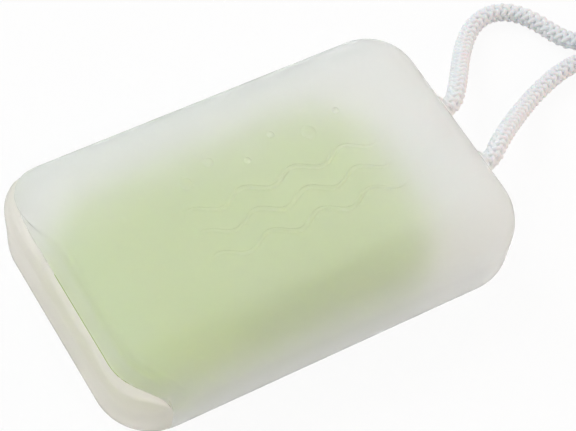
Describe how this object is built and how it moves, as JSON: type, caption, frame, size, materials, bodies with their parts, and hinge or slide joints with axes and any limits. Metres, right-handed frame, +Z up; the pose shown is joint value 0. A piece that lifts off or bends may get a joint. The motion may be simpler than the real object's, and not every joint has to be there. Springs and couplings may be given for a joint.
{
  "type": "travel soap box",
  "caption": "Frosted pillow-shaped soap case: a rounded sleeve with a sliding end-capped tray, a green soap bar inside and a white braided hanging cord.",
  "frame": {"origin": "middle of the case's base, on the surface that it lies on", "axes": "+X along the case towards the cord, +Y across it, +Z up through its top"},
  "size_m": [0.182, 0.0739, 0.03],
  "materials": {
    "frosted_sleeve": "frosted translucent plastic with a fine satin skin",
    "frosted_tray": "frosted translucent plastic with a fine satin skin",
    "soap": "pressed toilet soap, waxy and slightly translucent",
    "cord": "white braided cord"
  },
  "bodies": {
    "case": {"sleeve": "frosted_sleeve", "cord_strand_a": "cord", "cord_strand_b": "cord", "cord_bight": "cord", "cord_knot": "cord"},
    "tray": {"soap_tray": "frosted_tray"},
    "soap": {"soap_bar": "soap"}
  },
  "joints": [
    {"name": "tray_slide", "type": "slide", "parent": "case", "child": "tray", "axis": [-1, 0, 0], "range_m": [0, 0.108]},
    {"name": "soap_shift", "type": "slide", "parent": "tray", "child": "soap", "axis": [1, 0, 0], "range_m": [0, 0.003]}
  ]
}
